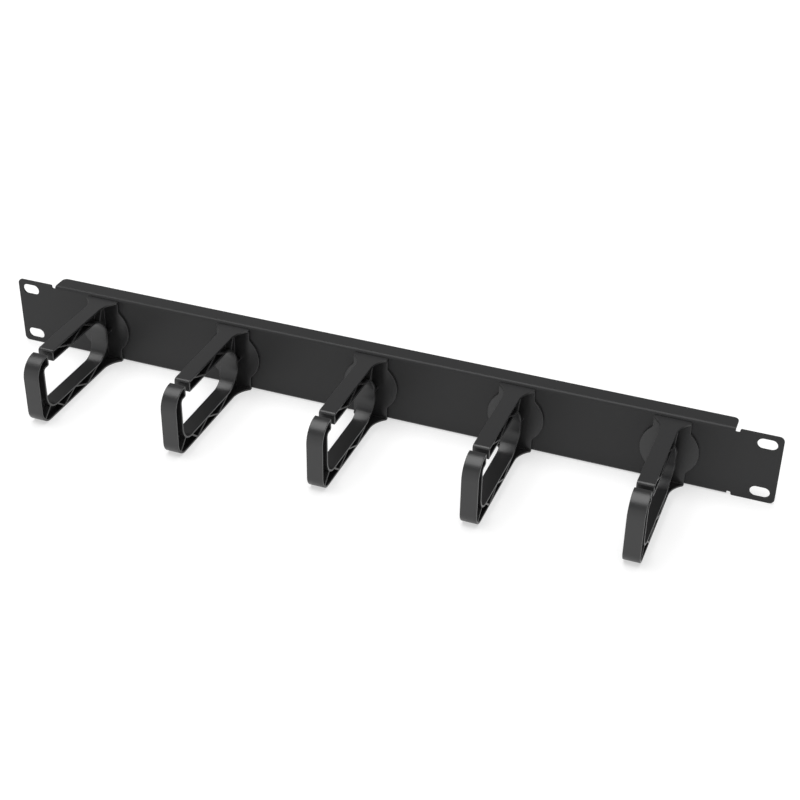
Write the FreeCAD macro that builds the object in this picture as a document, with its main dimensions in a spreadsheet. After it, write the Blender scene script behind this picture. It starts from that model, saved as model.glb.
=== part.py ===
# Horizontal cable manager, one rack unit high, for a 19 inch rack.
#
# A folded sheet panel bolts to the rack rails through four slotted holes.  Five
# identical moulded rings stand out of its face and hold the patch cables.  Each
# ring is a C-shaped frame of two thin bands on a middle web, stiffened by zigzag
# ribs, and its top arm is slit so that a cable can be pressed in.  Four snap claws
# and a key behind its cover disc hold each ring in a keyed hole of the panel.
#
# Frame: X along the panel, Y into the rack, Z up.  The origin is the centre of the
# four-slot pattern, in the rear face of the sheet, which seats on the rack rails.
# Millimetres throughout.
import FreeCAD, Part
import math
import os

import Sketcher

Vector = FreeCAD.Vector

# alias, value, what it sets
SIZES = (
    ("panel_width", 482.6, "rack panel, end to end"),
    ("panel_height", 44.0, "rack panel, bottom to top"),
    ("sheet_thickness", 1.2, "steel sheet"),
    ("bend_radius", 2.0, "outside radius of the two long bends"),
    ("flange_depth", 11.6, "panel front face to the rear edge of a flange"),
    ("ear_length", 26.8, "ear with its bend relief, end of panel to end of flange"),
    ("flange_corner_radius", 3.0, "rear corners of a flange"),
    ("notch_width", 2.4, "bend relief between flange and ear"),
    ("notch_depth", 2.2, "bend relief below the edge of the ear"),
    ("notch_radius", 0.9, "corners at the foot of the bend relief"),
    ("ear_corner_radius", 3.0, "outer corners of an ear"),
    ("ear_lip_radius", 0.9, "corner between an ear and its bend relief"),
    ("slot_inset", 8.75, "centre of a rack slot to the end of the panel"),
    ("slot_spacing_up", 31.75, "rack slots, centre to centre upwards"),
    ("slot_length", 11.2, "rack slot, end to end"),
    ("slot_height", 6.6, "rack slot, across"),
    ("ring_inset", 61.3, "middle of an outermost ring to the end of the panel"),
    ("ring_height", 42.2, "ring, bottom to top"),
    ("ring_reach", 84.8, "ring front to the panel face"),
    ("arm_width", 9.6, "width of the bands along the panel"),
    ("web_thickness", 1.6, "middle web between the bands"),
    ("outer_wall", 1.3, "outer band"),
    ("inner_wall", 1.2, "inner band"),
    ("end_wall", 1.2, "closing wall on each side of the entry slit"),
    ("rib_thickness", 1.1, "every rib between the bands"),
    ("upper_arm_depth", 7.2, "top arm, over both bands"),
    ("lower_arm_depth", 7.2, "bottom arm, over both bands"),
    ("front_leg_depth", 8.0, "front leg, over both bands"),
    ("front_lower_radius", 8.5, "outside corner below the front leg"),
    ("opening_back", 9.4, "cable opening to the panel face"),
    ("opening_back_radius", 11.4, "two rear corners of the cable opening"),
    ("opening_heel_radius", 5.75, "lower front corner of the cable opening"),
    ("opening_nose_radius", 2.0, "upper front corner of the cable opening"),
    ("slit_back", 67.1, "rear side of the entry slit to the panel face"),
    ("slit_width", 4.4, "entry slit"),
    ("slit_edge_radius", 0.8, "edges of the entry slit"),
    ("tip_heel_radius", 1.3, "underside of the loop tip"),
    ("tip_straight", 0.4, "straight inside the loop tip before its curve"),
    ("base_width", 21.4, "foot of the ring along the panel"),
    ("base_thickness", 1.5, "plate and disc against the panel"),
    ("flare_start", 14.0, "where the bands start to widen, from the panel"),
    ("flare_end", 2.0, "where the bands reach the foot's width, from the panel"),
    ("disc_diameter", 33.6, "round cover plate of the ring"),
    ("disc_blend_radius", 3.0, "hollow corners between the disc and the sides of the foot"),
    ("middle_rib_height", 21.4, "level rib behind the opening, above the ring's foot"),
    ("upper_node_setback", 6.1, "first node of the top ribs behind the slit"),
    ("curve_node_angle", 16.0, "last node of the top ribs, degrees round the curve"),
    ("back_rib_angle", 38.0, "foot of the short rib behind the opening, degrees round the curve"),
    ("back_rib_head", 10.3, "head of that rib under the top band, from the panel"),
    ("claw_circle", 20.0, "circle round the four snap claws behind the disc"),
    ("claw_clearance", 0.3, "between that circle and the panel hole, all round"),
    ("claw_width", 6.0, "snap claw, across"),
    ("claw_thickness", 1.8, "snap claw, through its stem"),
    ("claw_setback", 0.5, "flat outer face of a claw inside its circle"),
    ("claw_overlap", 0.9, "how far a claw hooks behind the hole's edge"),
    ("claw_land", 0.6, "straight part of the hook"),
    ("claw_length", 3.6, "claw behind the panel sheet"),
    ("seat_clearance", 0.15, "between the hooks and the sheet"),
    ("key_width", 4.0, "lug that stops the ring from turning"),
    ("key_rise", 1.5, "lug beyond the circle of the claws"),
    ("key_clearance", 0.25, "between the lug and its notch"),
)

RING_COUNT = 5
LOWER_BAYS = 4
UPPER_BAYS = 3
HALF_RIGHT_ANGLE = 45
CLAW_COUNT = 4
CUT_MARGIN = 5


def make_sheet(doc):
    """Write the driving sizes into the spreadsheet, one alias a row."""
    sheet = doc.addObject("Spreadsheet::Sheet", "Sizes")
    for row, (alias, size, note) in enumerate(SIZES, start=1):
        sheet.set(f"A{row}", alias)
        sheet.set(f"B{row}", str(size))
        sheet.setAlias(f"B{row}", alias)
        sheet.set(f"C{row}", note)
    doc.recompute()
    return sheet


def size(alias):
    """Name a driving size the way an expression does."""
    return f"Sizes.{alias}"


def number(item, expression):
    """Work out an expression in millimetres, to draw geometry near its solution."""
    result = item.evalExpression(expression)
    return float(getattr(result, "Value", result))


# ---------------------------------------------------------------- sketch helpers


def new_body(doc, label):
    """Start a sub-part whose Label names its file."""
    body = doc.addObject("PartDesign::Body", label)
    body.Label = label
    return body


def new_sketch(body, name, role, lift=None):
    """Attach a sketch to an origin plane of its own body, lifted by an expression."""
    sketch = body.newObject("Sketcher::SketchObject", name)
    plane = next(item for item in body.Origin.OriginFeatures if item.Role == role)
    sketch.AttachmentSupport = [(plane, "")]
    sketch.MapMode = "FlatFace"
    if lift is not None:
        sketch.setExpression("AttachmentOffset.Base.z", lift)
    return sketch


def bind(sketch, kind, references, expression):
    """Add a dimension and tie it to an expression."""
    constraint = Sketcher.Constraint(kind, *references, number(sketch, expression))
    index = sketch.addConstraint(constraint)
    sketch.setExpression(f"Constraints[{index}]", expression)


def place_point(sketch, geometry, point, across, up):
    """Tie one point of a line or arc to its place from the sketch origin."""
    bind(sketch, "DistanceX", (-1, 1, geometry, point), across)
    bind(sketch, "DistanceY", (-1, 1, geometry, point), up)


def join(sketch, kind, first, first_point, second, second_point):
    """Join two ends, as a plain corner or tangent to each other."""
    sketch.addConstraint(Sketcher.Constraint(kind, first, first_point, second, second_point))


def nearest_end(sketch, geometry, target):
    """Tell which end of an arc, 1 or 2, lies at the target point."""
    distances = {end: sketch.getPoint(geometry, end).distanceToPoint(target) for end in (1, 2)}
    return min(distances, key=distances.get)


def polygon(sketch, points):
    """Draw a closed outline with sharp corners, every corner tied to its place."""
    spots = [Vector(number(sketch, across), number(sketch, up)) for across, up in points]
    lines = []
    for start, end in zip(spots, spots[1:] + spots[:1]):
        lines.append(sketch.addGeometry(Part.LineSegment(start, end), False))
    for line, following, (across, up) in zip(lines, lines[1:] + lines[:1], points):
        join(sketch, "Coincident", line, 2, following, 1)
        place_point(sketch, line, 1, across, up)


def rounded_outline(sketch, corners):
    """Draw a closed outline of level and upright sides.

    Each corner is (across, up, radius): three expressions, the radius None where
    the corner is sharp.
    """
    spots = [Vector(number(sketch, across), number(sketch, up)) for across, up, _ in corners]
    radii = [0.0 if radius is None else number(sketch, radius) for _, _, radius in corners]
    count = len(corners)
    onward = [(spots[(i + 1) % count] - spots[i]).normalize() for i in range(count)]
    entries = [spots[i] - onward[i - 1] * radii[i] for i in range(count)]
    exits = [spots[i] + onward[i] * radii[i] for i in range(count)]

    sides = []
    for i in range(count):
        line = Part.LineSegment(exits[i], entries[(i + 1) % count])
        sides.append(sketch.addGeometry(line, False))
        upright = abs(onward[i].x) < abs(onward[i].y)
        sketch.addConstraint(Sketcher.Constraint("Vertical" if upright else "Horizontal", sides[i]))

    for i, (_, _, radius) in enumerate(corners):
        before, after = sides[i - 1], sides[i]
        if radius is None:
            join(sketch, "Coincident", before, 2, after, 1)
            continue
        centre = entries[i] + onward[i] * radii[i]
        bulge = centre + (spots[i] - centre).normalize() * radii[i]
        arc = sketch.addGeometry(Part.Arc(entries[i], bulge, exits[i]), False)
        near = nearest_end(sketch, arc, entries[i])
        join(sketch, "Tangent", before, 2, arc, near)
        join(sketch, "Tangent", arc, 3 - near, after, 1)
        bind(sketch, "Radius", (arc,), radius)

    for i, (across, up, _) in enumerate(corners):
        if abs(onward[i].x) < abs(onward[i].y):
            bind(sketch, "DistanceX", (-1, 1, sides[i], 1), across)
        else:
            bind(sketch, "DistanceY", (-1, 1, sides[i], 1), up)


def rectangle(sketch, left, right, low, high, radius=None):
    """Draw an upright rectangle, its four corners rounded or sharp."""
    spots = ((left, low), (right, low), (right, high), (left, high))
    rounded_outline(sketch, [(across, up, radius) for across, up in spots])


def obround(sketch, across, up, length, height):
    """Draw a slot with round ends, long side level."""
    radius = f"({height}) / 2"
    straight = f"(({length}) - ({height})) / 2"
    middle = Vector(number(sketch, across), number(sketch, up))
    half = number(sketch, straight)
    rise = number(sketch, radius)
    ends = []
    for side, sign in ((1, "+"), (-1, "-")):
        centre = middle + Vector(side * half, 0)
        low = centre + Vector(0, -rise)
        high = centre + Vector(0, rise)
        arc = sketch.addGeometry(Part.Arc(low, centre + Vector(side * rise, 0), high), False)
        bind(sketch, "Radius", (arc,), radius)
        place_point(sketch, arc, 3, f"{across} {sign} {straight}", up)
        ends.append((arc, nearest_end(sketch, arc, low), nearest_end(sketch, arc, high)))
    (right, right_low, right_high), (left, left_low, left_high) = ends
    top = Part.LineSegment(sketch.getPoint(right, right_high), sketch.getPoint(left, left_high))
    bottom = Part.LineSegment(sketch.getPoint(left, left_low), sketch.getPoint(right, right_low))
    top_line = sketch.addGeometry(top, False)
    bottom_line = sketch.addGeometry(bottom, False)
    join(sketch, "Tangent", right, right_high, top_line, 1)
    join(sketch, "Tangent", top_line, 2, left, left_high)
    join(sketch, "Tangent", left, left_low, bottom_line, 1)
    join(sketch, "Tangent", bottom_line, 2, right, right_low)


def circle(sketch, across, up, radius):
    """Draw a circle tied to its centre and radius."""
    middle = Vector(number(sketch, across), number(sketch, up))
    shape = Part.Circle(middle, Vector(0, 0, 1), number(sketch, radius))
    geometry = sketch.addGeometry(shape, False)
    place_point(sketch, geometry, 3, across, up)
    bind(sketch, "Radius", (geometry,), radius)


def rib_outline(sketch, start, end, thickness):
    """Draw a straight rib: a thin rectangle about a spine between two nodes."""
    foot = Vector(number(sketch, start[0]), number(sketch, start[1]))
    head = Vector(number(sketch, end[0]), number(sketch, end[1]))
    along = (head - foot).normalize()
    aside = Vector(-along.y, along.x) * (number(sketch, thickness) / 2)
    spine = sketch.addGeometry(Part.LineSegment(foot, head), True)
    place_point(sketch, spine, 1, *start)
    place_point(sketch, spine, 2, *end)
    spots = (foot + aside, head + aside, head - aside, foot - aside)
    lines = []
    for i in range(4):
        lines.append(sketch.addGeometry(Part.LineSegment(spots[i], spots[(i + 1) % 4]), False))
    for i in range(4):
        join(sketch, "Coincident", lines[i], 2, lines[(i + 1) % 4], 1)
    sketch.addConstraint(Sketcher.Constraint("Symmetric", lines[0], 1, lines[3], 1, spine, 1))
    sketch.addConstraint(Sketcher.Constraint("Symmetric", lines[0], 2, lines[2], 1, spine, 2))
    sketch.addConstraint(Sketcher.Constraint("Parallel", lines[0], spine))
    sketch.addConstraint(Sketcher.Constraint("Perpendicular", lines[1], spine))
    sketch.addConstraint(Sketcher.Constraint("Perpendicular", lines[3], spine))
    bind(sketch, "Distance", (lines[3],), thickness)


# --------------------------------------------------------------- feature helpers


def pad(body, sketch, length, symmetric=False, reverse=False):
    """Extrude a sketch into material."""
    feature = body.newObject("PartDesign::Pad", sketch.Name + "_pad")
    feature.Profile = sketch
    feature.setExpression("Length", length)
    feature.SideType = "Symmetric" if symmetric else "One side"
    feature.Reversed = reverse
    return feature


def pocket(body, sketch, reverse=False):
    """Cut a sketch right through everything on one side of its plane."""
    feature = body.newObject("PartDesign::Pocket", sketch.Name + "_cut")
    feature.Profile = sketch
    feature.Type = "ThroughAll"
    feature.Reversed = reverse
    return feature


def fillet_edges(body, name, base, radius, chosen):
    """Round the edges of a feature that the test picks out."""
    edges = [f"Edge{i}" for i, edge in enumerate(base.Shape.Edges, start=1) if chosen(edge)]
    feature = body.newObject("PartDesign::Fillet", name)
    feature.Base = (base, edges)
    feature.setExpression("Radius", radius)
    return feature


def upright_edges_at(spots, axis):
    """Make a test for straight edges along an axis that pass through given spots."""

    def chosen(edge):
        if not isinstance(edge.Curve, Part.Line):
            return False
        if abs(abs(edge.Curve.Direction.dot(axis)) - 1) > 1e-6:
            return False
        middle = edge.CenterOfMass
        middle = middle - axis * middle.dot(axis)
        return any(middle.distanceToPoint(spot) < 1e-4 for spot in spots)

    return chosen


# ---------------------------------------------- what the panel and the rings share

HALF_WIDTH = f"({size('panel_width')} / 2)"
FLANGE_END = f"({HALF_WIDTH} - {size('ear_length')})"
EAR_START = f"({FLANGE_END} + {size('notch_width')})"
CLAW_RADIUS = f"({size('claw_circle')} / 2)"
HOLE_RADIUS = f"({CLAW_RADIUS} + {size('claw_clearance')})"


def ring_place(ring_number):
    """Give the expression for a ring's middle, the first ring being on the left."""
    share = 2 * (ring_number - 1) / (RING_COUNT - 1) - 1
    return f"{share} * ({HALF_WIDTH} - {size('ring_inset')})"


def on_curve(centre, radius, angle):
    """Give the point of a circle at an angle, in degrees, from the level axis."""
    across = f"{centre[0]} + ({radius}) * {math.cos(math.radians(angle)):.9f}"
    up = f"{centre[1]} + ({radius}) * {math.sin(math.radians(angle)):.9f}"
    return across, up


def key_spine(centre, allowance):
    """Give both ends of the turn key's middle line, outwards at a slant."""
    start = on_curve(centre, f"{CLAW_RADIUS} - {size('claw_thickness')}", HALF_RIGHT_ANGLE)
    end = on_curve(centre, f"{CLAW_RADIUS} + {size('key_rise')} + {allowance}", HALF_RIGHT_ANGLE)
    return start, end


# --------------------------------------------------------------------- the panel


def panel_channel(body):
    """Fold the middle of the sheet: front wall and two flanges, with round bends."""
    sketch = new_sketch(body, "channel", "YZ_Plane")
    front = f"-{size('sheet_thickness')}"
    rear = f"{size('flange_depth')} - {size('sheet_thickness')}"
    top = f"{size('panel_height')} / 2"
    under = f"{size('panel_height')} / 2 - {size('sheet_thickness')}"
    outside = size("bend_radius")
    inside = f"{size('bend_radius')} - {size('sheet_thickness')}"
    rounded_outline(
        sketch,
        [
            (rear, f"-({top})", None),
            (rear, f"-({under})", None),
            ("0", f"-({under})", inside),
            ("0", under, inside),
            (rear, under, None),
            (rear, top, None),
            (front, top, outside),
            (front, f"-({top})", outside),
        ],
    )
    return pad(body, sketch, f"2 * {EAR_START}", symmetric=True)


def panel_ears(body):
    """Add the flat ears, which run into the folded middle half a relief wide."""
    sketch = new_sketch(body, "ears", "XZ_Plane")
    near = f"({FLANGE_END} + {EAR_START}) / 2"
    top = f"{size('panel_height')} / 2"
    for sign in ("", "-"):
        corners = [
            (f"{sign}({near})", f"-({top})", None),
            (f"{sign}{HALF_WIDTH}", f"-({top})", size("ear_corner_radius")),
            (f"{sign}{HALF_WIDTH}", top, size("ear_corner_radius")),
            (f"{sign}({near})", top, None),
        ]
        rounded_outline(sketch, corners)
    return pad(body, sketch, size("sheet_thickness"))


def panel_notches(body):
    """Cut the four bend reliefs from the edge of the sheet, front to back."""
    sketch = new_sketch(body, "reliefs", "XZ_Plane", lift=f"{size('sheet_thickness')} + {CUT_MARGIN}")
    low = f"{size('panel_height')} / 2 - {size('notch_depth')}"
    high = f"{size('panel_height')} / 2 + {CUT_MARGIN}"
    for side in ("", "-"):
        for rise in ("", "-"):
            rectangle(
                sketch,
                f"{side}{FLANGE_END}",
                f"{side}{EAR_START}",
                f"{rise}({low})",
                f"{rise}({high})",
                size("notch_radius"),
            )
    return pocket(body, sketch)


def panel_slots(body):
    """Cut the four rack slots."""
    sketch = new_sketch(body, "rack_slots", "XZ_Plane", lift=f"{size('sheet_thickness')} + {CUT_MARGIN}")
    for side in ("", "-"):
        for rise in ("", "-"):
            obround(
                sketch,
                f"{side}({HALF_WIDTH} - {size('slot_inset')})",
                f"{rise}{size('slot_spacing_up')} / 2",
                size("slot_length"),
                size("slot_height"),
            )
    return pocket(body, sketch)


def panel_ring_holes(body):
    """Cut the round holes for the claws, and a key notch in the edge of each."""
    lift = f"{size('sheet_thickness')} + {CUT_MARGIN}"
    holes = new_sketch(body, "ring_holes", "XZ_Plane", lift=lift)
    for ring_number in range(1, RING_COUNT + 1):
        circle(holes, ring_place(ring_number), "0", HOLE_RADIUS)
    pocket(body, holes)
    notches = new_sketch(body, "key_notches", "XZ_Plane", lift=lift)
    width = f"{size('key_width')} + 2 * {size('key_clearance')}"
    for ring_number in range(1, RING_COUNT + 1):
        start, end = key_spine((ring_place(ring_number), "0"), size("key_clearance"))
        rib_outline(notches, start, end, width)
    return pocket(body, notches)


def make_panel(doc):
    """Build the folded steel panel."""
    body = new_body(doc, "rack_panel")
    panel_channel(body)
    panel_ears(body)
    panel_notches(body)
    panel_slots(body)
    last = panel_ring_holes(body)
    doc.recompute()

    flange_end = number(body, FLANGE_END)
    rear = number(body, f"{size('flange_depth')} - {size('sheet_thickness')}")
    flange_corners = [Vector(side * flange_end, rear, 0) for side in (1, -1)]
    upright = upright_edges_at(flange_corners, Vector(0, 0, 1))
    last = fillet_edges(body, "flange_corners", last, size("flange_corner_radius"), upright)
    doc.recompute()

    ear_start = number(body, EAR_START)
    top = number(body, f"{size('panel_height')} / 2")
    lips = [Vector(side * ear_start, 0, rise * top) for side in (1, -1) for rise in (1, -1)]
    through = upright_edges_at(lips, Vector(0, 1, 0))
    fillet_edges(body, "ear_lips", last, size("ear_lip_radius"), through)
    return body


# ---------------------------------------------------------------------- the ring
#
# A ring is drawn in its own frame: the back of its foot is the plane Y = 0, its
# bottom is Z = 0, and it reaches forward along -Y.

REACH = size("ring_reach")
TOP = size("ring_height")
UPPER_FACE = f"({size('ring_height')} - {size('upper_arm_depth')})"
LOWER_FACE = size("lower_arm_depth")
LEG_FACE = f"({size('ring_reach')} - {size('front_leg_depth')})"
BACK_FACE = size("opening_back")
TIP = f"({size('slit_back')} + {size('slit_width')})"
CURVE_SPRING = f"({size('opening_back')} + {size('opening_back_radius')})"
HOLE_HEIGHT = f"{size('panel_height')} / 2"
NOSE_RADIUS = f"({REACH} - {TIP} - {size('end_wall')} - {size('tip_straight')})"


def ring_profile(body):
    """Extrude the C-shaped side view, foot to loop tip, as wide as the foot."""
    sketch = new_sketch(body, "side_profile", "YZ_Plane")
    edge = size("slit_edge_radius")
    rounded_outline(
        sketch,
        [
            ("0", "0", None),
            (f"-{REACH}", "0", size("front_lower_radius")),
            (f"-{REACH}", TOP, NOSE_RADIUS),
            (f"-{TIP}", TOP, edge),
            (f"-{TIP}", UPPER_FACE, size("tip_heel_radius")),
            (f"-{LEG_FACE}", UPPER_FACE, size("opening_nose_radius")),
            (f"-{LEG_FACE}", LOWER_FACE, size("opening_heel_radius")),
            (f"-{BACK_FACE}", LOWER_FACE, size("opening_back_radius")),
            (f"-{BACK_FACE}", UPPER_FACE, size("opening_back_radius")),
            (f"-{size('slit_back')}", UPPER_FACE, edge),
            (f"-{size('slit_back')}", TOP, edge),
            ("0", TOP, None),
        ],
    )
    return pad(body, sketch, size("base_width"), symmetric=True)


def ring_channels(body):
    """Hollow both sides down to the web, leaving the two bands and the end walls."""
    outer = size("outer_wall")
    inner = size("inner_wall")
    end = size("end_wall")
    inside_back = f"{size('opening_back_radius')} + {inner}"
    for name, sign in (("channel_right", ""), ("channel_left", "-")):
        sketch = new_sketch(body, name, "YZ_Plane", lift=f"{sign}{size('web_thickness')} / 2")
        rounded_outline(
            sketch,
            [
                (f"-{size('base_thickness')}", outer, None),
                (f"-({REACH} - {outer})", outer, f"{size('front_lower_radius')} - {outer}"),
                (f"-({REACH} - {outer})", f"{TOP} - {outer}", f"{NOSE_RADIUS} - {outer}"),
                (f"-({TIP} + {end})", f"{TOP} - {outer}", None),
                (f"-({TIP} + {end})", f"{UPPER_FACE} + {inner}", None),
                (
                    f"-({LEG_FACE} + {inner})",
                    f"{UPPER_FACE} + {inner}",
                    f"{size('opening_nose_radius')} + {inner}",
                ),
                (
                    f"-({LEG_FACE} + {inner})",
                    f"{LOWER_FACE} - {inner}",
                    f"{size('opening_heel_radius')} + {inner}",
                ),
                (f"-({BACK_FACE} - {inner})", f"{LOWER_FACE} - {inner}", inside_back),
                (f"-({BACK_FACE} - {inner})", f"{UPPER_FACE} + {inner}", inside_back),
                (f"-({size('slit_back')} - {end})", f"{UPPER_FACE} + {inner}", None),
                (f"-({size('slit_back')} - {end})", f"{TOP} - {outer}", None),
                (f"-{size('base_thickness')}", f"{TOP} - {outer}", None),
            ],
        )
        feature = pocket(body, sketch, reverse=(sign == ""))
    return feature


def lower_nodes():
    """List the nodes of the bottom arm's zigzag, from the front corner back."""
    inner_line = f"{LOWER_FACE} - {size('inner_wall')} / 2"
    outer_line = f"{size('outer_wall')} / 2"
    heel = size("opening_heel_radius")
    heel_centre = (f"-{LEG_FACE} + {heel}", f"{LOWER_FACE} + {heel}")
    toe = size("front_lower_radius")
    toe_centre = (f"-{REACH} + {toe}", toe)
    corner = on_curve(heel_centre, f"{heel} + {size('inner_wall')} / 2", 180 + HALF_RIGHT_ANGLE)
    outside = on_curve(toe_centre, f"{toe} - {size('outer_wall')} / 2", 180 + HALF_RIGHT_ANGLE)
    nodes = [corner]
    for i in range(1, LOWER_BAYS + 1):
        across = f"({corner[0]}) + (-{CURVE_SPRING} - ({corner[0]})) * {i} / {LOWER_BAYS}"
        nodes.append((across, inner_line if i % 2 == 0 else outer_line))
    return outside, nodes


def curve_node(angle):
    """Give the point of the upper rear curve's band at an angle from upright."""
    middle_radius = f"({size('opening_back_radius')} + {size('inner_wall')} / 2)"
    turn = f"{angle} * 1 deg"
    across = f"(-{CURVE_SPRING} + {middle_radius} * sin({turn}))"
    fall = f"{middle_radius} * (1 - cos({turn}))"
    return across, f"{UPPER_FACE} + {size('inner_wall')} / 2 - {fall}"


def upper_nodes():
    """List the nodes of the top arm's zigzag, from the slit back to the curve."""
    inner_line = f"{UPPER_FACE} + {size('inner_wall')} / 2"
    outer_line = f"{TOP} - {size('outer_wall')} / 2"
    first = f"-({size('slit_back')} - {size('upper_node_setback')})"
    last = curve_node(size("curve_node_angle"))
    nodes = []
    for i in range(UPPER_BAYS):
        across = f"{first} + ({last[0]} - ({first})) * {i} / {UPPER_BAYS}"
        nodes.append((across, outer_line if i % 2 == 0 else inner_line))
    return nodes + [last]


def back_rib():
    """Give both ends of the short rib that ties the upper rear curve to the top band."""
    head = (f"-{size('back_rib_head')}", f"{TOP} - {size('outer_wall')} / 2")
    return curve_node(size("back_rib_angle")), head


def ring_ribs(body):
    """Add the zigzag ribs and the back rib, as wide as the foot for now.

    Neighbouring ribs share a node on a band, so every second one is in each sketch.
    """
    outside, lower = lower_nodes()
    upper = upper_nodes()
    chain = [outside] + lower
    ribs = list(zip(chain, chain[1:])) + list(zip(upper, upper[1:]))
    odd = ribs[1:LOWER_BAYS + 1:2] + ribs[LOWER_BAYS + 1::2]
    even = ribs[0:LOWER_BAYS + 1:2] + ribs[LOWER_BAYS + 2::2]
    odd.append(back_rib())
    for name, group in (("ribs_forward", odd), ("ribs_backward", even)):
        sketch = new_sketch(body, name, "YZ_Plane")
        for start, end in group:
            rib_outline(sketch, start, end, size("rib_thickness"))
        feature = pad(body, sketch, size("base_width"), symmetric=True)
    return feature


def ring_plan_trim(body):
    """Trim bands, web and ribs to the plan view: slim arms that flare at the foot."""
    sketch = new_sketch(body, "plan_trim", "XY_Plane")
    slim = f"{size('arm_width')} / 2"
    wide = f"{size('base_width')} / 2"
    outside = f"{size('base_width')} / 2 + {CUT_MARGIN}"
    front = f"-({REACH} + {CUT_MARGIN})"
    begin = f"-{size('flare_start')}"
    finish = f"-{size('flare_end')}"
    spread = number(sketch, wide) - number(sketch, slim)
    run = number(sketch, finish) - number(sketch, begin)
    radius = (spread ** 2 + run ** 2) / (2 * spread)
    bow = math.atan2(run, radius - spread) / 2
    for sign, prefix in ((1, ""), (-1, "-")):
        spots = [
            (f"{prefix}{wide}", finish),
            (f"{prefix}({outside})", finish),
            (f"{prefix}({outside})", front),
            (f"{prefix}{slim}", front),
            (f"{prefix}{slim}", begin),
        ]
        places = [Vector(number(sketch, across), number(sketch, up)) for across, up in spots]
        lines = []
        for start, end in zip(places, places[1:]):
            lines.append(sketch.addGeometry(Part.LineSegment(start, end), False))
        for line, following in zip(lines, lines[1:]):
            join(sketch, "Coincident", line, 2, following, 1)
        for line, (across, up) in zip(lines, spots):
            place_point(sketch, line, 1, across, up)
        place_point(sketch, lines[-1], 2, *spots[-1])
        centre = places[-1] + Vector(sign * radius, 0)
        bulge = centre + Vector(-sign * math.cos(bow), math.sin(bow)) * radius
        arc = sketch.addGeometry(Part.Arc(places[-1], bulge, places[0]), False)
        near = nearest_end(sketch, arc, places[-1])
        join(sketch, "Tangent", lines[-1], 2, arc, near)
        join(sketch, "Coincident", arc, 3 - near, lines[0], 1)
    return pocket(body, sketch, reverse=True)


def ring_middle_rib(body):
    """Add the level rib that ties the back of the opening to the foot."""
    sketch = new_sketch(body, "middle_rib", "YZ_Plane")
    half = f"{size('rib_thickness')} / 2"
    rectangle(
        sketch,
        f"-({BACK_FACE} - {size('inner_wall')} / 2)",
        f"-{size('base_thickness')} / 2",
        f"{size('middle_rib_height')} - {half}",
        f"{size('middle_rib_height')} + {half}",
    )
    return pad(body, sketch, size("arm_width"), symmetric=True)


def ring_disc(body):
    """Add the round plate that covers the panel's hole, blended into the foot."""
    sketch = new_sketch(body, "cover_disc", "XZ_Plane")
    circle(sketch, "0", HOLE_HEIGHT, f"{size('disc_diameter')} / 2")
    disc = pad(body, sketch, size("base_thickness"))
    body.Document.recompute()

    side = number(body, f"{size('base_width')} / 2")
    middle = number(body, HOLE_HEIGHT)
    rise = math.sqrt(number(body, f"{size('disc_diameter')} / 2") ** 2 - side ** 2)
    corners = [Vector(sign * side, 0, middle + up) for sign in (1, -1) for up in (rise, -rise)]
    level = upright_edges_at(corners, Vector(0, 1, 0))
    return fillet_edges(body, "disc_blends", disc, size("disc_blend_radius"), level)


def ring_key(body):
    """Add the lug behind the disc that stops the ring from turning in the hole."""
    sketch = new_sketch(body, "turn_key", "XZ_Plane")
    start, end = key_spine(("0", HOLE_HEIGHT), "0")
    rib_outline(sketch, start, end, size("key_width"))
    return pad(body, sketch, size("sheet_thickness"), reverse=True)


def ring_claws(body):
    """Add four snap claws that reach through the hole and hook behind the sheet."""
    face = f"{HOLE_HEIGHT} + {CLAW_RADIUS} - {size('claw_setback')}"
    hook = f"{HOLE_HEIGHT} + {HOLE_RADIUS} + {size('claw_overlap')}"
    root = f"-{size('base_thickness')} / 2"
    seat = f"{size('sheet_thickness')} + {size('seat_clearance')}"
    tip = f"{size('sheet_thickness')} + {size('claw_length')}"
    sketch = new_sketch(body, "claw_profile", "YZ_Plane")
    axis = sketch.addGeometry(Part.LineSegment(Vector(0, 1), Vector(1, 1)), True)
    place_point(sketch, axis, 1, "0", HOLE_HEIGHT)
    place_point(sketch, axis, 2, tip, HOLE_HEIGHT)
    polygon(
        sketch,
        [
            (root, f"{face} - {size('claw_thickness')}"),
            (root, face),
            (seat, face),
            (seat, hook),
            (f"{seat} + {size('claw_land')}", hook),
            (tip, face),
            (tip, f"{face} - {size('claw_thickness')}"),
        ],
    )
    claw = pad(body, sketch, size("claw_width"), symmetric=True)
    pattern = body.newObject("PartDesign::PolarPattern", "claws")
    pattern.Originals = [claw]
    pattern.Axis = (sketch, ["Axis0"])
    pattern.Angle = 360
    pattern.Occurrences = CLAW_COUNT
    body.Tip = pattern
    return pattern


def mould_ring(doc, ring_number):
    """Build one moulded cable ring, feature by feature."""
    body = new_body(doc, f"cable_ring_{ring_number}")
    ring_profile(body)
    ring_channels(body)
    ring_ribs(body)
    ring_plan_trim(body)
    ring_middle_rib(body)
    ring_disc(body)
    ring_key(body)
    ring_claws(body)
    return body


def clone_ring(doc, original, ring_number):
    """Mould a further ring of the same form, as a clone that follows the first."""
    body = new_body(doc, f"cable_ring_{ring_number}")
    copy = doc.addObject("PartDesign::FeatureBase", body.Name + "_copy")
    body.Group = [copy]
    copy.BaseFeature = original
    body.Tip = copy
    return body


def seat_ring(body, ring_number):
    """Stand a ring with its foot on the panel's face and its claws in its hole."""
    body.setExpression("Placement.Base.x", ring_place(ring_number))
    body.setExpression("Placement.Base.y", f"-{size('sheet_thickness')}")
    body.setExpression("Placement.Base.z", f"-{size('panel_height')} / 2")


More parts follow.
